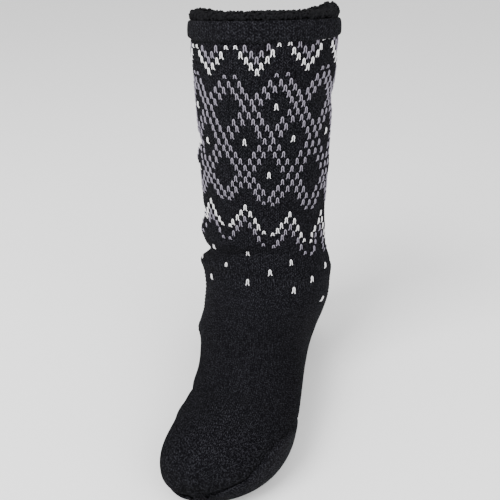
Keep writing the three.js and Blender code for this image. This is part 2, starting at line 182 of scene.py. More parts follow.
STATIONS = np.concatenate([shaft_stations(), foot_stations(), toe_stations()])
middles = (STATIONS[:, 0:2] + STATIONS[:, 2:4]) / 2
REACH = np.concatenate([[0], np.cumsum(np.linalg.norm(np.diff(middles, axis=0), axis=1))])
TUBE_LENGTH = REACH[-1]
print("tube length along its middle, mm:", round(TUBE_LENGTH / MM, 1))

# %% Points of the tube's skin
def sections_at(distance):
    """The nine numbers at any distances along the tube."""
    distance = np.clip(distance, 0, TUBE_LENGTH)
    i = np.clip(np.searchsorted(REACH, distance) - 1, 0, len(REACH) - 2)
    before, after = np.maximum(i - 1, 0), np.minimum(i + 2, len(REACH) - 1)
    span = (REACH[i + 1] - REACH[i])[..., None]
    t = (distance - REACH[i])[..., None] / span
    a, b = STATIONS[i], STATIONS[i + 1]
    slope_a = (b - STATIONS[before]) / (REACH[i + 1] - REACH[before])[..., None] * span
    slope_b = (STATIONS[after] - a) / (REACH[after] - REACH[i])[..., None] * span
    return (a * (2 * t**3 - 3 * t**2 + 1) + slope_a * (t**3 - 2 * t**2 + t)
            + b * (3 * t**2 - 2 * t**3) + slope_b * (t**3 - t**2))


def tube_point(distance, angle):
    s = np.moveaxis(sections_at(distance), -1, 0)
    top_y, top_z, sole_y, sole_z, half_width, aside, top_round, sole_round, side = s
    power = 2 / np.where(np.sin(angle) > 0, top_round, sole_round)
    across = np.sign(np.cos(angle)) * np.abs(np.cos(angle)) ** power
    up = np.sign(np.sin(angle)) * np.abs(np.sin(angle)) ** power
    return np.stack([
        aside + half_width * across,
        (top_y + sole_y) / 2 + (top_y - sole_y) / 2 * up,
        (top_z + sole_z) / 2 + (top_z - sole_z) / 2 * up + side * half_width * across], axis=-1)


def turn_from(angle, degrees):
    turn = angle - np.radians(degrees)
    return np.arctan2(np.sin(turn), np.cos(turn))


def fold_out(distance, angle):
    out = np.zeros(np.broadcast(distance, angle).shape)
    for down, round_, tall, long, spread, slant in FOLDS:
        turn = turn_from(angle, round_)
        along = distance - down * TUBE_LENGTH - slant * LEG_WIDTH * turn
        fade = (along / (long * LEG_WIDTH)) ** 2 + (turn / np.radians(spread)) ** 2
        out += tall * FOLD_DEPTH * np.exp(-fade)
    return out


STEP_ALONG = 0.5 * MM
STEP_ROUND = 0.01


def outward(distance, angle):
    distance = np.clip(distance, STEP_ALONG, TUBE_LENGTH - STEP_ALONG)
    ahead = tube_point(distance + STEP_ALONG, angle)
    behind = tube_point(distance - STEP_ALONG, angle)
    left = tube_point(distance, angle + STEP_ROUND)
    right = tube_point(distance, angle - STEP_ROUND)
    normal = np.cross(left - right, ahead - behind)
    return normal / np.linalg.norm(normal, axis=-1, keepdims=True)


def knit_point(distance, angle, offset):
    """Points of the knitted skin, moved out along its normal."""
    distance, angle, offset = np.broadcast_arrays(distance, angle, offset)
    out = offset + fold_out(distance, angle)
    return tube_point(distance, angle) + outward(distance, angle) * out[..., None]


collar_front = knit_point(0.0, math.pi / 2, 0.0)
print("front of the collar, mm:", [round(float(v) / MM, 1) for v in collar_front])

# %% [markdown]
# ## From points to meshes
# Every fabric here is a grid of points bent round the tube, so one helper turns a grid into a mesh. It
# joins the last column to the first without doubling points, so no seam shows. It also writes a UV map
# whose units are stitches: one step in U is one column of stitches, one step in V is one course.

# %% Meshes from grids
SAME_PLACE = 1e-7


def mesh_object(name, points, faces, uv=None):
    """A smooth mesh piece from points and faces, with its own UV per face corner."""
    mesh = bpy.data.meshes.new(name)
    faces = np.asarray(faces)
    corners = faces.shape[1]
    mesh.vertices.add(len(points))
    mesh.vertices.foreach_set("co", np.asarray(points, dtype=np.float32).ravel())
    mesh.loops.add(faces.size)
    mesh.loops.foreach_set("vertex_index", faces.ravel().astype(np.int32))
    mesh.polygons.add(len(faces))
    mesh.polygons.foreach_set("loop_start", np.arange(0, faces.size, corners, dtype=np.int32))
    mesh.update(calc_edges=True)
    if uv is not None:
        layer = mesh.uv_layers.new(name="stitches")
        layer.data.foreach_set("uv", np.asarray(uv, dtype=np.float32).ravel())
    mesh.validate()
    closed = bmesh.new()
    closed.from_mesh(mesh)
    bmesh.ops.remove_doubles(closed, verts=closed.verts, dist=SAME_PLACE)
    closed.to_mesh(mesh)
    closed.free()
    mesh.shade_smooth()
    piece = bpy.data.objects.new(name, mesh)
    bpy.context.scene.collection.objects.link(piece)
    return piece


def tidy_mesh(name, points, faces, uv=None):
    """A mesh piece without the points that no face uses."""
    faces = np.asarray(faces)
    used, numbers = np.unique(faces, return_inverse=True)
    if np.isnan(points[used]).any():
        raise ValueError(f"{name} has points that are not numbers")
    piece = mesh_object(name, points[used], numbers.reshape(faces.shape), uv)
    print(name, triangles(piece), "triangles")
    return piece


def triangles(piece):
    return sum(len(face.vertices) - 2 for face in piece.data.polygons)


def grid_faces(rows, columns, closed_rows=False):
    """Quads of a grid whose last column joins its first, as four rows of indices each."""
    last = rows if closed_rows else rows - 1
    r, c = np.meshgrid(np.arange(last), np.arange(columns), indexing="ij")
    r, c = r.ravel(), c.ravel()
    r2, c2 = (r + 1) % rows, (c + 1) % columns
    return np.stack([r * columns + c, r * columns + c2, r2 * columns + c2, r2 * columns + c], axis=1), r, c

# %% [markdown]
# ## Where the stitches lie
# The knit has 90 columns of stitches round the leg. Its courses are level rings, but they drift a little:
# the fabric twists slowly round the leg and sags towards the little toe above the ankle. At the heel the
# back of the tube is much longer than its front, and a knitter works extra short rows there, so the
# stitches stay the same size. Here the front and back halves of the tube each have a course count of their
# own. The two differ by a whole number of courses below the heel, so the rows meet again.

# %% The gauge of the knit
WALES = 90
WALE_TURN = 2 * math.pi / WALES
COURSE = 2.27 * MM
COLUMNS_PER_WALE = 4
COLUMNS = COLUMNS_PER_WALE * WALES
ROWS_PER_COURSE = 2
FIRST_ANGLE = math.radians(87.1)
# How far the columns have turned at some distances down the leg
TWIST_DOWN = np.array((0, 15, 31, 79, 130, 180)) * MM
TWIST = np.radians((0, 0.8, 1.2, 11.3, 11.6, 12.5))
# How much lower than the front a course lies at both sides, and at the little toe's side alone
SAG_DOWN = np.array((0, 31, 79, 150, 206, 250, 300)) * MM
SIDES_SAG = np.array((0, -1, 3, 13, 13, 6, 0)) * MM
LITTLE_SIDE_SAG = np.array((-3, -2, -4, 8, 8, 4, 0)) * MM
collar = tube_point(np.zeros(COLUMNS), np.arange(COLUMNS) * 2 * math.pi / COLUMNS)
collar_girth = np.linalg.norm(np.diff(collar, axis=0, append=collar[:1]), axis=1).sum()
print("stitch width at the collar, mm:", round(collar_girth / WALES / MM, 2))


def smooth_step(x, low, high):
    t = np.clip((x - low) / (high - low), 0, 1)
    return t * t * (3 - 2 * t)


def wale_angle(wale, distance):
    """Where a column of stitches runs. Columns count towards the little toe across the front."""
    return FIRST_ANGLE - wale * WALE_TURN + np.interp(distance, TWIST_DOWN, TWIST)


def laid(distance, angle):
    """A course's distance at each angle, with its sag."""
    sides = np.interp(distance, SAG_DOWN, SIDES_SAG) * np.cos(angle) ** 2
    little = np.interp(distance, SAG_DOWN, LITTLE_SIDE_SAG) * np.cos(angle)
    return np.clip(distance + sides + little, 0, TUBE_LENGTH)

# %% Course counts down the front and the back of the tube
# The knit is squeezed a little under the cuff and stretched over the calf. A count of courses, and how far
# down the leg it reaches:
LEG_COUNTS = (0, 7, 17, 27, 37, 47, 57, 67, 71, 81, 87)
LEG_DOWN = np.array((0, 15.2, 34.3, 55.4, 79.3, 103.9, 126, 149.3, 160.5, 188, 205)) * MM
LEG_COURSES = 79
LAST_COUNT = LEG_COUNTS[-1]
FRONT_DEGREES = (60, 90, 120)
BACK_DEGREES = (240, 270, 300)
HEEL_SHARES = (0.41, 0.45, 0.66, 0.7)
fine = np.linspace(0, TUBE_LENGTH, 2000)


def path_stretch(degrees):
    """How much longer the skin's path is than the tube's middle, at some angles."""
    paths = [tube_point(fine, np.full_like(fine, math.radians(d))) for d in degrees]
    return np.mean([np.linalg.norm(np.gradient(path, fine, axis=0), axis=1) for path in paths], axis=0)


def running_sum(rate):
    steps = (rate[1:] + rate[:-1]) / 2 * np.diff(fine)
    return np.concatenate([[0], np.cumsum(steps)])


share = fine / TUBE_LENGTH
in_heel = smooth_step(share, *HEEL_SHARES[:2]) * (1 - smooth_step(share, *HEEL_SHARES[2:]))
back_rate = blend(1, np.maximum(path_stretch(BACK_DEGREES), 1), in_heel)
front_rate = blend(1, np.minimum(path_stretch(FRONT_DEGREES), 1), in_heel)
past_leg = running_sum(back_rate) / COURSE
past_leg -= np.interp(LEG_DOWN[-1], fine, past_leg)
back_count = np.where(fine < LEG_DOWN[-1], np.interp(fine, LEG_DOWN, LEG_COUNTS), LAST_COUNT + past_leg)
short_count = running_sum(back_rate - front_rate) / COURSE
short_count *= round(short_count[-1]) / short_count[-1]

ROWS = int(ROWS_PER_COURSE * back_count[-1])
row_back = np.arange(ROWS + 1) / ROWS_PER_COURSE
row_distance = np.interp(row_back, back_count, fine)
row_front = row_back - np.interp(row_distance, fine, short_count)
LEG_END = LEG_COURSES * ROWS_PER_COURSE


def course_down(course):
    """How far down the tube a course lies."""
    return np.interp(course, back_count, fine)


print("courses down the back", ROWS / ROWS_PER_COURSE, "short rows", round(short_count[-1]))

# %% [markdown]
# ## The relief of the stitches
# Seen close, each stitch of this knit is a small roof: two yarn legs that spread down from a point. A grid
# with four columns and two rows to a stitch is enough to raise both legs and sink the gaps between them, as
# long as each square is cut along the leg and not across it. The finer roundness of the yarn is left to the
# bump of its material. The skin is pulled in along the seam of the sole, as the sewing pulls it on the real
# sock.

# %% The sole's seam, from the same table as the solids
# Shares of FOOT_LENGTH from the heel, and of SEAM_RISE at either side: at, little, big
SEAM_TABLE = np.array([
    (-0.1, 0.39, 0.39), (0.15, 0.375, 0.375), (0.4, 0.315, 0.325), (0.6, 0.365, 0.315), (0.72, 0.62, 0.325),
    (0.8, 0.92, 0.325), (0.85, 1.0, 0.325), (0.89, 0.96, 0.325), (0.925, 0.83, 0.32), (0.96, 0.64, 0.315),
    (1.1, 0.4, 0.29),
])
SEAM_BLEND = BALL_WIDTH / 3


def above_seam(points):
    """How far points lie above the seam between the knit and the sole."""
    x, y, z = np.moveaxis(points, -1, 0)
    at, little, big = SEAM_TABLE.T
    share = (HEEL_BACK_Y - y) / FOOT_LENGTH
    i = np.clip(np.searchsorted(at, share) - 1, 0, len(at) - 2)
    t = smooth_step(share, at[i], at[i + 1])
    sides = [blend(side[i], side[i + 1], t) for side in (big, little)]
    return z - SEAM_RISE * blend(*sides, smooth_step(x, -SEAM_BLEND, SEAM_BLEND))


print("seam's highest point, mm:", round(SEAM_RISE * SEAM_TABLE[:, 1:].max() / MM, 1))

# %% Heights of the yarn on the grid
RELIEF = 0.75 * MM
# How high each of a stitch's four grid columns stands, and where in the course its yarn is highest
RAISED = np.array([0.12, 1.0, 0.5, 1.0])
LEG_DROP = np.array([1.0, 0.5, 0.0, 0.5])
BETWEEN_LEGS = 0.35
# How deep the sewing pulls the skin in, and how far from the seam
SEAM_PULL = 1.8 * MM
SEAM_REACH = 2.2 * MM
# The relief fades out over this stretch of the tube, where the columns crowd together at the toe
TIP_SHARES = (0.93, 1.0)


def relief(courses, column):
    """Height of the yarn, from the course count and the column of the grid."""
    kind = column % COLUMNS_PER_WALE
    wave = 0.5 + 0.5 * np.cos(2 * math.pi * (courses - LEG_DROP[kind]))
    return RELIEF * RAISED[kind] * blend(BETWEEN_LEGS, 1, wave)


def knit_grid(first, last):
    """Angles and points of the knit's rows."""
    rows = np.arange(first, last + 1)
    column = np.arange(COLUMNS)[None, :]
    distance = row_distance[rows][:, None] + 0 * column
    angle = wale_angle(column / COLUMNS_PER_WALE, distance)
    at = laid(distance, angle)
    courses = np.where(np.sin(angle) > 0, row_front[rows][:, None], row_back[rows][:, None])
    skin = knit_point(at, angle, 0.0)
    pull = SEAM_PULL * np.exp(-((above_seam(skin) / SEAM_REACH) ** 2))
    calm = 1 - smooth_step(at / TUBE_LENGTH, *TIP_SHARES)
    return angle, knit_point(at, angle, relief(courses, column) * calm - pull)


print("grid of the whole tube:", ROWS + 1, "rows of", COLUMNS)

# %% The closed toe
TIP_RINGS = 6
TIP_DEPTH = 1.3 * MM


def with_tip(points):
    """The rows of a grid, and more rows that round its end over to a point."""
    ring = points[-1]
    middle = ring.mean(axis=0)
    turn = np.linspace(0, math.pi / 2, TIP_RINGS + 1)[1:, None, None]
    ahead = np.array([0, -TIP_DEPTH, 0])
    return np.concatenate([points, middle + (ring - middle) * np.cos(turn) + ahead * np.sin(turn)])

# %% Faces cut along the legs of the stitches
def leg_cut(corners, columns):
    """Two triangles for each square, cut along the leg that spreads down from the middle of its stitch."""
    falling = corners[:, [[0, 1, 3], [1, 2, 3]]]
    rising = corners[:, [[0, 1, 2], [0, 2, 3]]]
    left = (columns % COLUMNS_PER_WALE < COLUMNS_PER_WALE / 2).reshape(-1, *[1] * (falling.ndim - 1))
    chosen = np.where(left, falling, rising)
    return chosen.reshape(-1, *chosen.shape[2:])


def stitch_uv(first, row, column, front):
    """The UV of each square's four corners, in stitches."""
    def course(r):
        past = np.maximum(first + r - ROWS, 0) / ROWS_PER_COURSE
        known = np.minimum(first + r, ROWS)
        return np.where(front, row_front[known], row_back[known]) + past
    u1, u2 = column / COLUMNS_PER_WALE, (column + 1) / COLUMNS_PER_WALE
    v1, v2 = course(row), course(row + 1)
    return np.stack([np.stack(pair, axis=1) for pair in ((u1, v1), (u2, v1), (u2, v2), (u1, v2))], axis=1)


def knit_piece(name, first, last, lowest=None):
    """A stretch of the knitted tube. Faces that lie deeper under the seam than lowest are left out."""
    angle, points = knit_grid(first, last)
    if last == ROWS:
        points = with_tip(points)
    squares, row, column = grid_faces(len(points), COLUMNS)
    level = np.minimum(row, last - first)
    front = np.sin(angle[level, column] - WALE_TURN / COLUMNS_PER_WALE / 2) > 0
    uv = leg_cut(stitch_uv(first, row, column, front), column)
    faces = leg_cut(squares, column)
    points = points.reshape(-1, 3)
    if lowest is not None:
        kept = (above_seam(points) > lowest)[faces].any(axis=1)
        faces, uv = faces[kept], uv[kept]
    return tidy_mesh(name, points, faces, uv)


UNDER_SEAM = -4 * MM
leg_knit = knit_piece("leg_knit", 0, LEG_END)
foot_knit = knit_piece("foot_knit", LEG_END, ROWS, UNDER_SEAM)

# %% [markdown]
# ## The pattern
# Two lighter yarns make the pattern. Each of their stitches is slipped over two courses, so it stands as
# one tall loop on the dark ground. It could be painted on, but then no loop would stand out at the edge of
# the leg or catch the light. The pattern repeats nine times round the leg, so it is charted once, and a
# node tree sets a loop of yarn on every charted place.

# %% The chart of one repeat
# One line for each pattern row from the cuff down. W and G are a white and a grey loop, w and g short ones,
# and D is a white loop in every other repeat.
REPEAT = 10
CHART = """
..G.w.w.G.
.G.W...W.G
G.W.....W.
.W.......W
W.........
....g.g...
...G.G.G..
..G.G.G.G.
.G.G...G.G
G.G.....G.
.G...D...G
G.G.....G.
.G.G...G.G
..G.G.G.G.
...G.G.G..
W...G.G...
...G.G.G..
..G.G.G.G.
.G.G...G.G
G.G.....G.
.G...D...G
G.G.....G.
.G.G...G.G
..G.G.G.G.
...G.G.G..
....g.g...
W.........
.W.......W
G.W.....W.
.G.W...W.G
..G.w.w.G.
...G...G..
....g.g...
..........
W.........
..........
..........
.....W....
..........
..........
..........
W.........
""".split()
FIRST_COURSE = 7
COURSES_PER_LINE = 2
SHORT = 0.55


def charted(colour):
    """Column, course and height of every loop of a colour, given by its letter."""
    found = []
    repeats = WALES // REPEAT
    for line, row in enumerate(CHART):
        for repeat in range(-(repeats // 2), repeats - repeats // 2):
            for column, mark in enumerate(row):
                dotted = mark == "D" and colour == "W" and repeat % 2 == 0
                if mark.upper() == colour or dotted:
                    tall = SHORT if mark.islower() else 1
                    found.append((repeat * REPEAT + column, FIRST_COURSE + COURSES_PER_LINE * line, tall))
    return np.array(found, dtype=float)


print("grey loops", len(charted("G")), "white loops", len(charted("W")))

# %% [markdown]
# Each loop is a short piece of yarn bent like a wishbone. Its place carries a turn and a size as
# attributes, with a little disorder, because no two stitches are alike.

# %% One loop of yarn
YARN_RADIUS = 0.45 * MM
LOOP_PATH = np.array([(-1.5, -2.6, -0.45), (-1.1, -1.9, 0.15), (-0.7, -1.0, 0.45), (-0.84, 0.2, 0.5),
                      (-0.8, 1.2, 0.55), (-0.46, 1.95, 0.55), (0, 2.2, 0.5)]) * MM
YARN_SIDES = 6
LOOP_STEPS = 17


def swept(name, path, radii, sides):
    """A closed tube of yarn along a path of points."""
    ahead = np.gradient(path, axis=0)
    ahead /= np.linalg.norm(ahead, axis=1, keepdims=True)
    flat = np.cross(ahead, (0, 0, 1))
    flat /= np.linalg.norm(flat, axis=1, keepdims=True)
    up = np.cross(flat, ahead)
    turn = np.arange(sides) * 2 * math.pi / sides
    ring = np.cos(turn)[None, :, None] * flat[:, None] + np.sin(turn)[None, :, None] * up[:, None]
    points = (path[:, None] + ring * np.asarray(radii)[:, None, None]).reshape(-1, 3)
    faces, _, _ = grid_faces(len(path), sides)
    quads = np.concatenate([faces[:, [0, 1, 2]], faces[:, [0, 2, 3]]])
    cap = np.array([(0, i, i + 1) for i in range(1, sides - 1)])
    far_cap = cap + (len(path) - 1) * sides
    return tidy_mesh(name, points, np.concatenate([quads, cap[:, ::-1], far_cap])[:, ::-1])


def loop_path():
    mirrored = LOOP_PATH[:-1][::-1] * (-1, 1, 1)
    corners = np.concatenate([LOOP_PATH, mirrored])
    t = np.linspace(0, len(corners) - 1, LOOP_STEPS)
    return np.stack([np.interp(t, np.arange(len(corners)), axis) for axis in corners.T], axis=1)


print("loop, mm:", [round(float(v) / MM, 1) for v in np.ptp(loop_path(), axis=0)])

# %% Places of the loops
OUT_OF_KNIT = 0.3 * MM
LOOP_WIDTHS = (0.7, 1.15)
JITTER = {"along": 0.12 * MM, "round": 0.012, "turn": math.radians(4), "size": 0.05}
random = np.random.default_rng(7)


def frames_at(distance, angle):
    """Axes on the skin: across to the right, up towards the collar and straight out."""
    out = outward(distance, angle)
    ahead = knit_point(distance + STEP_ALONG, angle, 0.0) - knit_point(distance - STEP_ALONG, angle, 0.0)
    up = -ahead
    up -= out * (up * out).sum(axis=-1, keepdims=True)
    up /= np.linalg.norm(up, axis=-1, keepdims=True)
    return np.cross(up, out), up, out


def eulers(x, y, z):
    """XYZ Euler angles of the turns whose columns are three rows of axes."""
    about_x = np.arctan2(y[:, 2], z[:, 2])
    about_y = -np.arcsin(x[:, 2])
    about_z = np.arctan2(x[:, 1], x[:, 0])
    return np.stack([about_x, about_y, about_z], axis=1)


def points_object(name, places, turns, sizes):
    """A mesh of bare points with the turn and size of what stands on each."""
    mesh = bpy.data.meshes.new(name)
    mesh.vertices.add(len(places))
    mesh.vertices.foreach_set("co", np.asarray(places, dtype=np.float32).ravel())
    for key, values in (("turn", turns), ("size", sizes)):
        mesh.attributes.new(key, "FLOAT_VECTOR", "POINT").data.foreach_set(
            "vector", np.asarray(values, dtype=np.float32).ravel())
    piece = bpy.data.objects.new(name, mesh)
    bpy.context.scene.collection.objects.link(piece)
    return piece


def loop_places(name, colour):
    """A point for every loop of a colour, turned and sized to the knit under it."""
    column, course, tall = charted(colour).T
    count = len(column)

    def spread(key):
        return JITTER[key] * random.uniform(-1, 1, count)

    distance = course_down(course) + spread("along")
    angle = wale_angle(column + 0.5, distance) + spread("round")
    at = laid(distance, angle)
    x, y, z = frames_at(at, angle)
    lean = spread("turn")[:, None]
    x, y = x * np.cos(lean) + y * np.sin(lean), y * np.cos(lean) - x * np.sin(lean)
    edges = [tube_point(at, angle + side * WALE_TURN / 2) for side in (1, -1)]
    girth = np.linalg.norm(edges[0] - edges[1], axis=1)
    wide = np.clip(girth / (LEG_WIDTH / 2 * WALE_TURN), *LOOP_WIDTHS) * (1 + spread("size"))
    sizes = np.stack([wide, tall * (1 + spread("size")), np.ones(count)], axis=1)
    shift = y * ((1 - tall) * LOOP_PATH[-1][1])[:, None]
    return points_object(name, knit_point(at, angle, OUT_OF_KNIT) + shift, eulers(x, y, z), sizes)

# %% A node tree that sets one mesh on every point
def instancing_tree(name):
    tree = bpy.data.node_groups.new(name, "GeometryNodeTree")
    for label, kind in (("Geometry", "NodeSocketGeometry"), ("Instance", "NodeSocketObject"),
                        ("Material", "NodeSocketMaterial")):
        tree.interface.new_socket(label, in_out="INPUT", socket_type=kind)
    tree.interface.new_socket("Geometry", in_out="OUTPUT", socket_type="NodeSocketGeometry")
    nodes, links = tree.nodes, tree.links
    given = nodes.new("NodeGroupInput")
    info = nodes.new("GeometryNodeObjectInfo")
    links.new(given.outputs["Instance"], info.inputs["Object"])
    stand = nodes.new("GeometryNodeInstanceOnPoints")
    links.new(given.outputs["Geometry"], stand.inputs["Points"])
    links.new(info.outputs["Geometry"], stand.inputs["Instance"])
    turn = named_attribute(nodes, "turn", "FLOAT_VECTOR")
    euler = nodes.new("FunctionNodeEulerToRotation")
    links.new(turn, euler.inputs[0])
    links.new(euler.outputs[0], stand.inputs["Rotation"])
    links.new(named_attribute(nodes, "size", "FLOAT_VECTOR"), stand.inputs["Scale"])
    close_tree(tree, given, stand.outputs["Instances"])
    return tree


def named_attribute(nodes, name, kind):
    node = nodes.new("GeometryNodeInputNamedAttribute")
    node.data_type = kind
    node.inputs["Name"].default_value = name
    return next(socket for socket in node.outputs if socket.enabled and socket.name == "Attribute")


def close_tree(tree, given, instances):
    """Every tree ends in real faces with one material."""
    nodes, links = tree.nodes, tree.links
    real = nodes.new("GeometryNodeRealizeInstances")
    links.new(instances, real.inputs["Geometry"])
    paint = nodes.new("GeometryNodeSetMaterial")
    links.new(real.outputs["Geometry"], paint.inputs["Geometry"])
    links.new(given.outputs["Material"], paint.inputs["Material"])
    result = nodes.new("NodeGroupOutput")
    links.new(paint.outputs["Geometry"], result.inputs["Geometry"])


def grown(name, base, tree, **inputs):
    """The plain mesh that a tree makes of a base object. The base and its modifier are then removed."""
    modifier = base.modifiers.new(name, "NODES")
    modifier.node_group = tree
    for socket in tree.interface.items_tree:
        if socket.in_out == "INPUT" and socket.name in inputs:
            modifier[socket.identifier] = inputs[socket.name]
    bpy.context.view_layer.update()
    seen = base.evaluated_get(bpy.context.evaluated_depsgraph_get())
    mesh = bpy.data.meshes.new_from_object(seen)
    mesh.name = name
    mesh.shade_smooth()
    bpy.data.objects.remove(base)
    piece = bpy.data.objects.new(name, mesh)
    bpy.context.scene.collection.objects.link(piece)
    print(name, triangles(piece), "triangles")
    return piece

# %% [markdown]
# ## Materials
# Yarn is matt: nearly all of its light comes back scattered, with a faint sheen of loose fibres. A picture
# could give the colour, but it would blur close up and show a join. Here the finish is worked out at every
# point from the stitch it lies in. One small class writes shader maths as ordinary sums, so each recipe
# below reads as the rule it follows.

# %% Shader maths written as sums
class Value:
    """A shader number. Sums and products with it become Math nodes."""

    def __init__(self, tree, socket):
        self.tree, self.socket = tree, socket

    def math(self, operation, *others):
        node = self.tree.nodes.new("ShaderNodeMath")
        node.operation = operation
        for socket, value in zip(node.inputs, (self, *others)):
            fill(self.tree, socket, value)
        return Value(self.tree, node.outputs[0])

    def __add__(self, other):
        return self.math("ADD", other)

    def __sub__(self, other):
        return self.math("SUBTRACT", other)

    def __mul__(self, other):
        return self.math("MULTIPLY", other)

    def __pow__(self, other):
        return self.math("POWER", other)

    def __rsub__(self, other):
        return (self * -1) + other

    __radd__ = __add__
    __rmul__ = __mul__


def fill(tree, socket, value):
    """Links a value to a socket, or sets the socket itself."""
    if isinstance(value, Value):
        tree.links.new(value.socket, socket)
    else:
        socket.default_value = value


# Almost nothing is mirrored by wool, and its fibres give only a breath of sheen
SPECULAR = 0.03
SHEEN = 0.004
SHEEN_ROUGHNESS = 0.5
# The Mix node's sockets for colours
MIX_FACTOR, MIX_A, MIX_B, MIX_RESULT = 0, 6, 7, 2


class Recipe:
    """A material under construction: its tree, its main shader and one way to add nodes."""

    def __init__(self, name, roughness):
        self.material = bpy.data.materials.new(name)
        self.material.use_nodes = True
        self.tree = self.material.node_tree
        self.surface = self.tree.nodes["Principled BSDF"]
        self.surface.inputs["Roughness"].default_value = roughness
        self.surface.inputs["Specular IOR Level"].default_value = SPECULAR
        self.surface.inputs["Sheen Weight"].default_value = SHEEN
        self.surface.inputs["Sheen Roughness"].default_value = SHEEN_ROUGHNESS

    def node(self, kind, settings=(), **values):
        """A node of any kind: its settings first, then the values or links of its sockets."""
        node = self.tree.nodes.new(kind)
        for key, value in dict(settings).items():
            setattr(node, key, value)
        for socket, value in values.items():
            fill(self.tree, node.inputs[socket], value)
        return node

    def value(self, node, output=0):
        return Value(self.tree, node.outputs[output])

    def noise(self, scale, detail):
        """Soft noise from 0 to 1, fixed to the piece."""
        where = self.value(self.node("ShaderNodeTexCoord"), "Object")
        return self.value(self.node("ShaderNodeTexNoise", Vector=where, Scale=scale, Detail=detail), "Fac")

    def mix(self, factor, a, b):
        """A colour between a and b."""
        node = self.node("ShaderNodeMix", {"data_type": "RGBA"})
        for index, value in ((MIX_FACTOR, factor), (MIX_A, a), (MIX_B, b)):
            fill(self.tree, node.inputs[index], value)
        return self.value(node, MIX_RESULT)

    def finish(self, colour, height, depth):
        """Sets the colour, and the bump as a height in metres."""
        fill(self.tree, self.surface.inputs["Base Color"], colour)
        bump = self.node("ShaderNodeBump", Height=height, Distance=depth)
        fill(self.tree, self.surface.inputs["Normal"], self.value(bump))
        return self.material

# %% Recipes for knit and for yarn
# Linear colours. A knit has its yarn, the light specks of its heather and a painted shade for the gaps
# between its legs and courses.
KNIT_COLOURS = {
    "charcoal_knit": ((0.0035, 0.0035, 0.0046, 1), (0.029, 0.029, 0.035, 1), (0.001, 0.001, 0.0014, 1)),
    "sole_knit": ((0.0045, 0.0045, 0.0058, 1), (0.031, 0.031, 0.037, 1), (0.001, 0.001, 0.0014, 1)),
}
# A single yarn has its lit colour and a painted shade, which darkens it where its fibres lie low
YARN_COLOURS = {
    "black_pile": ((0.013, 0.013, 0.0145, 1), (0.003, 0.003, 0.0035, 1)),
    "grey_yarn": ((0.3, 0.28, 0.33, 1), (0.12, 0.11, 0.14, 1)),
    "white_yarn": ((0.92, 0.91, 0.92, 1), (0.6, 0.59, 0.61, 1)),
}
YARN_ROUGHNESS = {"black_pile": 0.95, "grey_yarn": 0.8, "white_yarn": 0.8}
KNIT_ROUGHNESS = 0.9
KNIT_BUMP = 0.35 * MM
YARN_BUMP = 0.25 * MM
# Noise waves per metre, and how fine each noise is
FIBRE_SCALE = 1500
KNIT_FIBRE_DETAIL = 3.0
YARN_FIBRE_DETAIL = 4.0
SPECK_SCALE = 900
SPECK_DETAIL = 2.0
SPECK_EDGE = (0.44, 0.7)
# How much of a leg's height stands even where the legs meet, how soon the painted shade darkens the gaps, and
# how far the fibres stand out
LEG_FLOOR = 0.3
GAP_SHADE_POWER = 0.7
FIBRE_HEIGHT = 0.5


def knit_material(name, yarn, light, painted_gap_shade):
    """Plain knit, from the UV in stitches: legs that spread down from the middle of each column, with painted
    shade in the gaps between them.
    """
    recipe = Recipe(name, KNIT_ROUGHNESS)
    uv = recipe.value(recipe.node("ShaderNodeUVMap", {"uv_map": "stitches"}))
    parts = recipe.node("ShaderNodeSeparateXYZ", Vector=uv)
    u, v = recipe.value(parts, "X"), recipe.value(parts, "Y")
    off_middle = (u.math("FRACT") - 0.5).math("ABSOLUTE")
    along = (v - 2 * off_middle + 0.5).math("FRACT") - 0.5
    strand = 1 - (2 * along) ** 2
    legs = (off_middle * (2 * math.pi)).math("SINE")
    yarn_height = strand * (LEG_FLOOR + (1 - LEG_FLOOR) * legs)
    fibre = recipe.noise(FIBRE_SCALE, KNIT_FIBRE_DETAIL)
    speck = recipe.value(recipe.node("ShaderNodeMapRange", Value=recipe.noise(SPECK_SCALE, SPECK_DETAIL), **{
        "From Min": SPECK_EDGE[0], "From Max": SPECK_EDGE[1]}))
    colour = recipe.mix(speck, yarn, light)
    # Painted shade: the colour sinks to its darkest shade where the yarn's bump height is low, between the
    # legs and between the courses.
    colour = recipe.mix(yarn_height.math("MAXIMUM", 0.0) ** GAP_SHADE_POWER, painted_gap_shade, colour)
    return recipe.finish(colour, yarn_height + FIBRE_HEIGHT * fibre, KNIT_BUMP)


def yarn_material(name, yarn, shade):
    """A single yarn: fine fibres and a slightly uneven dye, with painted shade where the fibres lie low."""
    recipe = Recipe(name, YARN_ROUGHNESS[name])
    fibre = recipe.noise(FIBRE_SCALE, YARN_FIBRE_DETAIL)
    # Painted shade: the noise that raises the fibres also mixes the yarn towards its darker shade where they
    # lie low.
    return recipe.finish(recipe.mix(fibre, shade, yarn), fibre, YARN_BUMP)


materials = {name: knit_material(name, *colours) for name, colours in KNIT_COLOURS.items()}
materials.update({name: yarn_material(name, *colours) for name, colours in YARN_COLOURS.items()})
print("finishes:", ", ".join(materials))

# %% Grow the loops
one_loop = swept("one_loop", loop_path(), np.full(LOOP_STEPS, YARN_RADIUS), YARN_SIDES)
loop_tree = instancing_tree("loops_on_the_knit")
grey_stitches = grown("grey_stitches", loop_places("grey_places", "G"), loop_tree,
                      Instance=one_loop, Material=materials["grey_yarn"])
white_stitches = grown("white_stitches", loop_places("white_places", "W"), loop_tree,
                       Instance=one_loop, Material=materials["white_yarn"])
bpy.data.objects.remove(one_loop)

# %% [markdown]
# ## The cuff and the rolled pile
# The cuff is a separate ribbed band turned over the top of the leg. The pile lining stands a little higher
# than the leg and rolls out over its rim, higher and thicker at the two ends of the fold. Both are closed
# bands: an outline of points round the section, carried once round the collar. A curve with a bevel would
# do it too, but a band laid on the tube's own skin follows the leg's flattened shape by itself.

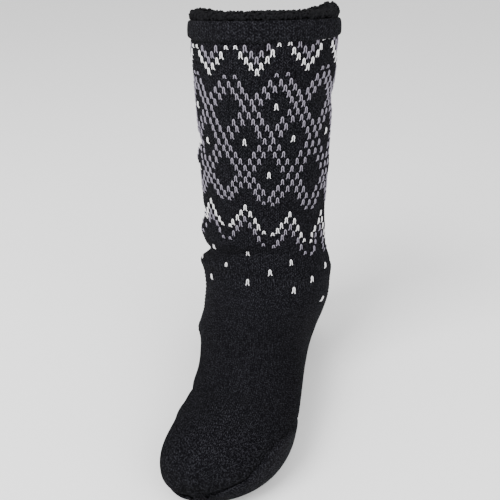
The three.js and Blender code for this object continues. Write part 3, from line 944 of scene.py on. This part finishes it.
# %% Bands round the collar
def smooth_outline(outline, steps):
    """A closed smooth curve through the outline's points."""
    t = np.arange(len(outline) * steps) / steps
    i, f = t.astype(int), (t % 1)[:, None]
    before, a, b, after = (outline[(i + k) % len(outline)] for k in (-1, 0, 1, 2))
    return 0.5 * (2 * a + (b - before) * f + (2 * before - 5 * a + 4 * b - after) * f**2
                  + (3 * a - before - 3 * b + after) * f**3)


def band_piece(name, outline, columns, place):
    """A closed band. place turns the outline's rows of numbers and the angles round the collar to points."""
    angle = FIRST_ANGLE - np.arange(columns)[None, :] * 2 * math.pi / columns
    points = place(outline, angle)
    squares, row, column = grid_faces(len(outline), columns, closed_rows=True)
    steps = np.linalg.norm(np.diff(points, axis=0, append=points[:1])[:, 0], axis=1)
    run = np.concatenate([[0], np.cumsum(steps)]) / COURSE
    u1, u2 = column * WALES / columns, (column + 1) * WALES / columns
    v1, v2 = run[row], run[row + 1]
    uv = np.stack([np.stack(pair, axis=1) for pair in ((u1, v1), (u2, v1), (u2, v2), (u1, v2))], axis=1)
    return tidy_mesh(name, points.reshape(-1, 3), squares[:, ::-1], uv[:, ::-1])

# %% The ribbed cuff
# Shares of the cuff's height and thickness: down, out
CUFF_PROFILE = np.array([(0.97, 0.0), (1.0, 0.4), (0.9, 0.86), (0.62, 1.0), (0.3, 1.0), (0.09, 0.84),
                         (0.0, 0.42), (0.03, 0.0)])
OUTLINE_STEPS = 5
CUFF_COLUMNS = 6 * WALES
RIB_DEPTH = 0.45 * MM
RIB_FROM = 0.5


def cuff_place(outline, angle):
    down, out = outline[:, 0:1], outline[:, 1:2]
    valley = 0.5 - 0.5 * np.cos((angle - FIRST_ANGLE) * WALES)
    rib = RIB_DEPTH * smooth_step(out, RIB_FROM, 1.0) * valley
    return knit_point(down * CUFF_HEIGHT, angle, FIT_GAP + out * CUFF_THICKNESS - rib)


cuff_outline = smooth_outline(CUFF_PROFILE, OUTLINE_STEPS)
ribbed_cuff = band_piece("ribbed_cuff", cuff_outline, CUFF_COLUMNS, cuff_place)

# %% The rolled edge of the pile
# Shares of the roll's height, of the cuff's thickness and of the wall with its pile: up, out, in
ROLL_PROFILE = np.array([(0.06, 0.1, 0), (0.35, 0.6, 0), (0.78, 0.4, 0), (1, 0, 0.25), (0.85, 0, 0.78),
                         (0.3, 0, 1.1)])
# Where the pile bunches up, in degrees, and how much taller it is there: round, tall, spread
ROLL_LUMPS = np.array([(-24, 1.6, 24), (186, 0.85, 26)])
ROLL_COLUMNS = 2 * WALES
ROLL_SINK = 0.5 * MM
SINK_SHARES = (0.3, 1.0)
ROLL_IN = 1.3 * MM


def roll_tall(angle):
    return 1 + sum(tall * np.exp(-((turn_from(angle, around) / np.radians(spread)) ** 2))
                   for around, tall, spread in ROLL_LUMPS)


def roll_place(outline, angle):
    up, out, into = outline[:, 0:1], outline[:, 1:2], outline[:, 2:3]
    angle = angle + 0 * up
    off_skin = out * CUFF_THICKNESS - into * (KNIT_WALL + PILE_THICKNESS)
    points = knit_point(0 * angle, angle, off_skin - ROLL_IN * (1 - into))
    sink = ROLL_SINK * smooth_step(up, *SINK_SHARES)
    points[..., 2] += LIP_GAP + up * ROLL_HEIGHT * roll_tall(angle) - sink
    return points


roll_outline = smooth_outline(ROLL_PROFILE, OUTLINE_STEPS)
pile_roll = band_piece("pile_roll", roll_outline, ROLL_COLUMNS, roll_place)

# %% [markdown]
# The pile itself is a mass of tiny curls of yarn. Bump alone would leave the roll's edge smooth against the
# background, so the curls are real. One curl is an open ring of yarn, and the same kind of node tree as for
# the pattern sets it all over the roll, turned at random.

# %% Curls of the pile
CURL_COUNT = 1500
CURL_RADIUS = 1.35 * MM
CURL_YARN = 0.6 * MM
CURL_TURN = 1.5 * math.pi
CURL_RISE = 0.25
CURL_SIZES = (0.7, 1.25)
CURL_STEPS, CURL_SIDES = 8, 5


def curl_places():
    """A point for every curl, anywhere on the roll."""
    along = random.uniform(0, 1, CURL_COUNT)
    angle = random.uniform(0, 2 * math.pi, CURL_COUNT)
    closed = np.concatenate([roll_outline, roll_outline[:1]])
    row = along * (len(closed) - 1)
    at = np.stack([np.interp(row, np.arange(len(closed)), axis) for axis in closed.T], axis=1)
    places = np.concatenate([roll_place(at[i:i + 1], angle[None, i:i + 1])[0] for i in range(CURL_COUNT)])
    turns = random.uniform(-math.pi, math.pi, (CURL_COUNT, 3))
    sizes = random.uniform(*CURL_SIZES, (CURL_COUNT, 1)) * np.ones(3)
    return points_object("curl_places", places, turns, sizes)


def curl_path():
    turn = np.linspace(0, CURL_TURN, CURL_STEPS)
    return CURL_RADIUS * np.stack([np.cos(turn), np.sin(turn), CURL_RISE * np.sin(2 * turn)], axis=1)


one_curl = swept("one_curl", curl_path(), np.full(CURL_STEPS, CURL_YARN), CURL_SIDES)
pile_curls = grown("pile_curls", curl_places(), instancing_tree("curls_on_the_roll"),
                   Instance=one_curl, Material=materials["black_pile"])
bpy.data.objects.remove(one_curl)

# %% [markdown]
# ## The inside
# The pile runs on down the leg and along the foot, where only a look through the collar shows it. Curls
# would be lost in there, so it is one soft skin inside the wall, uneven as pile is. The footbed is a pad of
# the same pile on the sole.

# %% Inner pile
LINING_ROWS, LINING_COLUMNS = 150, 160
LINING_END = 0.97
SKIRT_FADE_FROM = 0.75 * PILE_DEPTH
THIN_PILE = 0.4 * MM
PILE_UNEVEN = 0.35 * MM


def foot_lining_piece():
    distance = np.linspace(0.0, LINING_END * TUBE_LENGTH, LINING_ROWS)[:, None]
    angle = FIRST_ANGLE - np.arange(LINING_COLUMNS)[None, :] * 2 * math.pi / LINING_COLUMNS
    skirt = 1 - smooth_step(distance, SKIRT_FADE_FROM, PILE_DEPTH)
    depth = KNIT_WALL + blend(THIN_PILE, PILE_THICKNESS, skirt)
    uneven = PILE_UNEVEN * random.normal(size=(LINING_ROWS, LINING_COLUMNS))
    points = knit_point(distance, angle, uneven - depth)
    points[..., 2] = np.maximum(points[..., 2], FIT_GAP + SOLE_THICKNESS)
    squares, _, _ = grid_faces(LINING_ROWS, LINING_COLUMNS)
    return tidy_mesh("foot_lining", points.reshape(-1, 3), squares[:, ::-1])


foot_lining = foot_lining_piece()

# %% Footbed: the solid's own mesh, made even and rough
PILE_GRAIN = 1.5 * MM


def footbed_piece():
    """The footbed's solid, remeshed evenly and roughened inwards."""
    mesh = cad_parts["insole"].data.copy()
    merged = bmesh.new()
    merged.from_mesh(mesh)
    bmesh.ops.remove_doubles(merged, verts=merged.verts, dist=SAME_PLACE)
    merged.to_mesh(mesh)
    merged.free()
    plain = bpy.data.objects.new("footbed_plain", mesh)
    plain.matrix_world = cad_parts["insole"].matrix_world
    bpy.context.scene.collection.objects.link(plain)
    remesh = plain.modifiers.new("even", "REMESH")
    remesh.mode, remesh.voxel_size = "VOXEL", PILE_GRAIN
    bpy.context.view_layer.update()
    even = bpy.data.meshes.new_from_object(plain.evaluated_get(bpy.context.evaluated_depsgraph_get()))
    even.transform(plain.matrix_world)
    bpy.data.objects.remove(plain)
    points = np.empty(len(even.vertices) * 3)
    normals = np.empty_like(points)
    even.vertices.foreach_get("co", points)
    even.vertices.foreach_get("normal", normals)
    rough = np.repeat(random.uniform(-1, 0, len(even.vertices)), 3) * PILE_UNEVEN
    even.vertices.foreach_set("co", points + normals * rough)
    even.name = "footbed"
    even.materials.clear()
    even.shade_smooth()
    piece = bpy.data.objects.new("footbed", even)
    bpy.context.scene.collection.objects.link(piece)
    print("footbed", triangles(piece), "triangles")
    return piece


footbed = footbed_piece()

# %% [markdown]
# ## The sole
# The sole is a thick knitted piece, cupped up the sides of the foot to the seam. It could be cut from the
# solid's own mesh, but that has no stitches to follow. Here it is the part of the tube's skin below the seam,
# stood out by the seam's small step, turned in at its edge and pressed flat below.

# %% Sole
SOLE_ROWS, SOLE_COLUMNS = 260, 320
SOLE_FROM = 0.42
SOLE_PUFF = 0.3 * MM
EDGE_TURN_IN = 1.8 * MM
EDGE_FROM, EDGE_TO = -2.2 * MM, 0.5 * MM


def knit_sole_piece():
    distance = np.linspace(SOLE_FROM * TUBE_LENGTH, TUBE_LENGTH, SOLE_ROWS)[:, None]
    angle = FIRST_ANGLE - np.arange(SOLE_COLUMNS)[None, :] * 2 * math.pi / SOLE_COLUMNS
    above = above_seam(knit_point(distance, angle, 0.0))
    turned_in = EDGE_TURN_IN * smooth_step(above, EDGE_FROM, EDGE_TO)
    points = with_tip(knit_point(distance, angle, SOLE_STEP + SOLE_PUFF - turned_in))
    points[..., 2] = np.maximum(points[..., 2], 0)
    squares, row, column = grid_faces(len(points), SOLE_COLUMNS)
    kept = (above_seam(points).reshape(-1) < EDGE_TO)[squares].all(axis=1)
    v = np.arange(len(points)) * (distance[1, 0] - distance[0, 0]) / COURSE
    u1, u2 = column * WALES / SOLE_COLUMNS, (column + 1) * WALES / SOLE_COLUMNS
    corners = ((u1, v[row]), (u2, v[row]), (u2, v[row + 1]), (u1, v[row + 1]))
    uv = np.stack([np.stack(pair, axis=1) for pair in corners], axis=1)
    return tidy_mesh("knit_sole", points.reshape(-1, 3), squares[kept], uv[kept])


knit_sole = knit_sole_piece()

# %% [markdown]
# ## Dress the solids
# Every piece rides on the sock's one rigid body. Each names the solid that it stands for, so that solid is
# hidden where its yarn is shown, and takes the finish of its slot. A table keeps the ten in view together.

# %% Finish, slot and solid of each piece
DRESS = (
    (leg_knit, "upper", "charcoal_knit"),
    (foot_knit, "upper", "charcoal_knit"),
    (grey_stitches, "upper", "grey_yarn"),
    (white_stitches, "upper", "white_yarn"),
    (ribbed_cuff, "cuff", "charcoal_knit"),
    (pile_roll, "lining", "black_pile"),
    (pile_curls, "lining", "black_pile"),
    (foot_lining, "lining", "black_pile"),
    (footbed, "insole", "black_pile"),
    (knit_sole, "sole", "sole_knit"),
)
for piece, node, slot_name in DRESS:
    if not piece.data.materials:
        piece.data.materials.append(materials[slot_name])
    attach(piece, "root")
    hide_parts(node)
print("dressed", len(DRESS), "pieces,", sum(triangles(piece) for piece, _, _ in DRESS), "triangles in all")

# %% [markdown]
# ## Camera and studio
# The camera stands close, a little to the little toe's side and well above, because the photo shows the
# collar almost edge-on and the foot from above at once. Its place, turn and lens were fitted to the sock's
# outline, and are written as angles and a distance, as a photographer would set them.

# %% Camera
AZIMUTH, ELEVATION, ROLL = math.radians(11.12), math.radians(26.43), math.radians(-0.51)
DISTANCE = 550 * MM
AIM = np.array([-2.83, -60, 117.5]) * MM
LENS, SENSOR = 51.25, 36


def add_camera():
    """A camera that looks at AIM from the side and height of the photo."""
    level_look = np.array([-math.sin(AZIMUTH), math.cos(AZIMUTH), 0])
    look = math.cos(ELEVATION) * level_look - math.sin(ELEVATION) * np.array([0, 0, 1])
    level = np.array([math.cos(AZIMUTH), math.sin(AZIMUTH), 0])
    upright = np.cross(level, look)
    right = math.cos(ROLL) * level + math.sin(ROLL) * upright
    up = math.cos(ROLL) * upright - math.sin(ROLL) * level
    place = Matrix.Identity(4)
    for column, axis in enumerate((right, up, -look, AIM - look * DISTANCE)):
        place.col[column][:3] = axis
    data = bpy.data.cameras.new("camera")
    data.lens, data.sensor_width = LENS, SENSOR
    camera = bpy.data.objects.new("camera", data)
    camera.matrix_world = place
    bpy.context.scene.collection.objects.link(camera)
    bpy.context.scene.camera = camera


add_camera()
print("camera at mm:", [round(v / MM) for v in bpy.context.scene.camera.matrix_world.translation])

# %% [markdown]
# The floor is a wide pale sheet, and the light is soft and comes from all round, as in a studio tent. A
# stronger lamp at the left and a weaker one at the right give the folds and stitches a little shade.

# %% Floor and light
FLOOR_HALF = 20
FLOOR_COLOUR = (0.9, 0.9, 0.9, 1)
FLOOR_ROUGHNESS = 0.9
SKY_COLOUR = (1, 1, 1, 1)
SKY_STRENGTH = 1.25
# name, place, size, power
LAMPS = (("key", (-0.7, -1.0, 1.3), 0.9, 38), ("fill", (0.9, -0.9, 0.8), 1.2, 15))
LAMP_AIM = Vector((0, -0.06, 0.12))


def add_floor():
    mesh = bpy.data.meshes.new("floor")
    corners = [(x * FLOOR_HALF, y * FLOOR_HALF, 0) for x, y in ((-1, -1), (1, -1), (1, 1), (-1, 1))]
    mesh.from_pydata(corners, [], [(0, 1, 2, 3)])
    material = bpy.data.materials.new("floor")
    material.use_nodes = True
    surface = material.node_tree.nodes["Principled BSDF"]
    surface.inputs["Base Color"].default_value = FLOOR_COLOUR
    surface.inputs["Roughness"].default_value = FLOOR_ROUGHNESS
    mesh.materials.append(material)
    floor = bpy.data.objects.new("floor", mesh)
    bpy.context.scene.collection.objects.link(floor)


def add_light():
    world = bpy.data.worlds.new("studio")
    world.use_nodes = True
    sky = world.node_tree.nodes["Background"]
    sky.inputs["Color"].default_value = SKY_COLOUR
    sky.inputs["Strength"].default_value = SKY_STRENGTH
    bpy.context.scene.world = world
    for name, spot, size, power in LAMPS:
        data = bpy.data.lights.new(name, "AREA")
        data.size, data.energy = size, power
        lamp = bpy.data.objects.new(name, data)
        lamp.location = spot
        lamp.rotation_euler = (LAMP_AIM - Vector(spot)).to_track_quat("-Z", "Y").to_euler()
        bpy.context.scene.collection.objects.link(lamp)


add_floor()
add_light()
print("lamps:", ", ".join(lamp[0] for lamp in LAMPS))
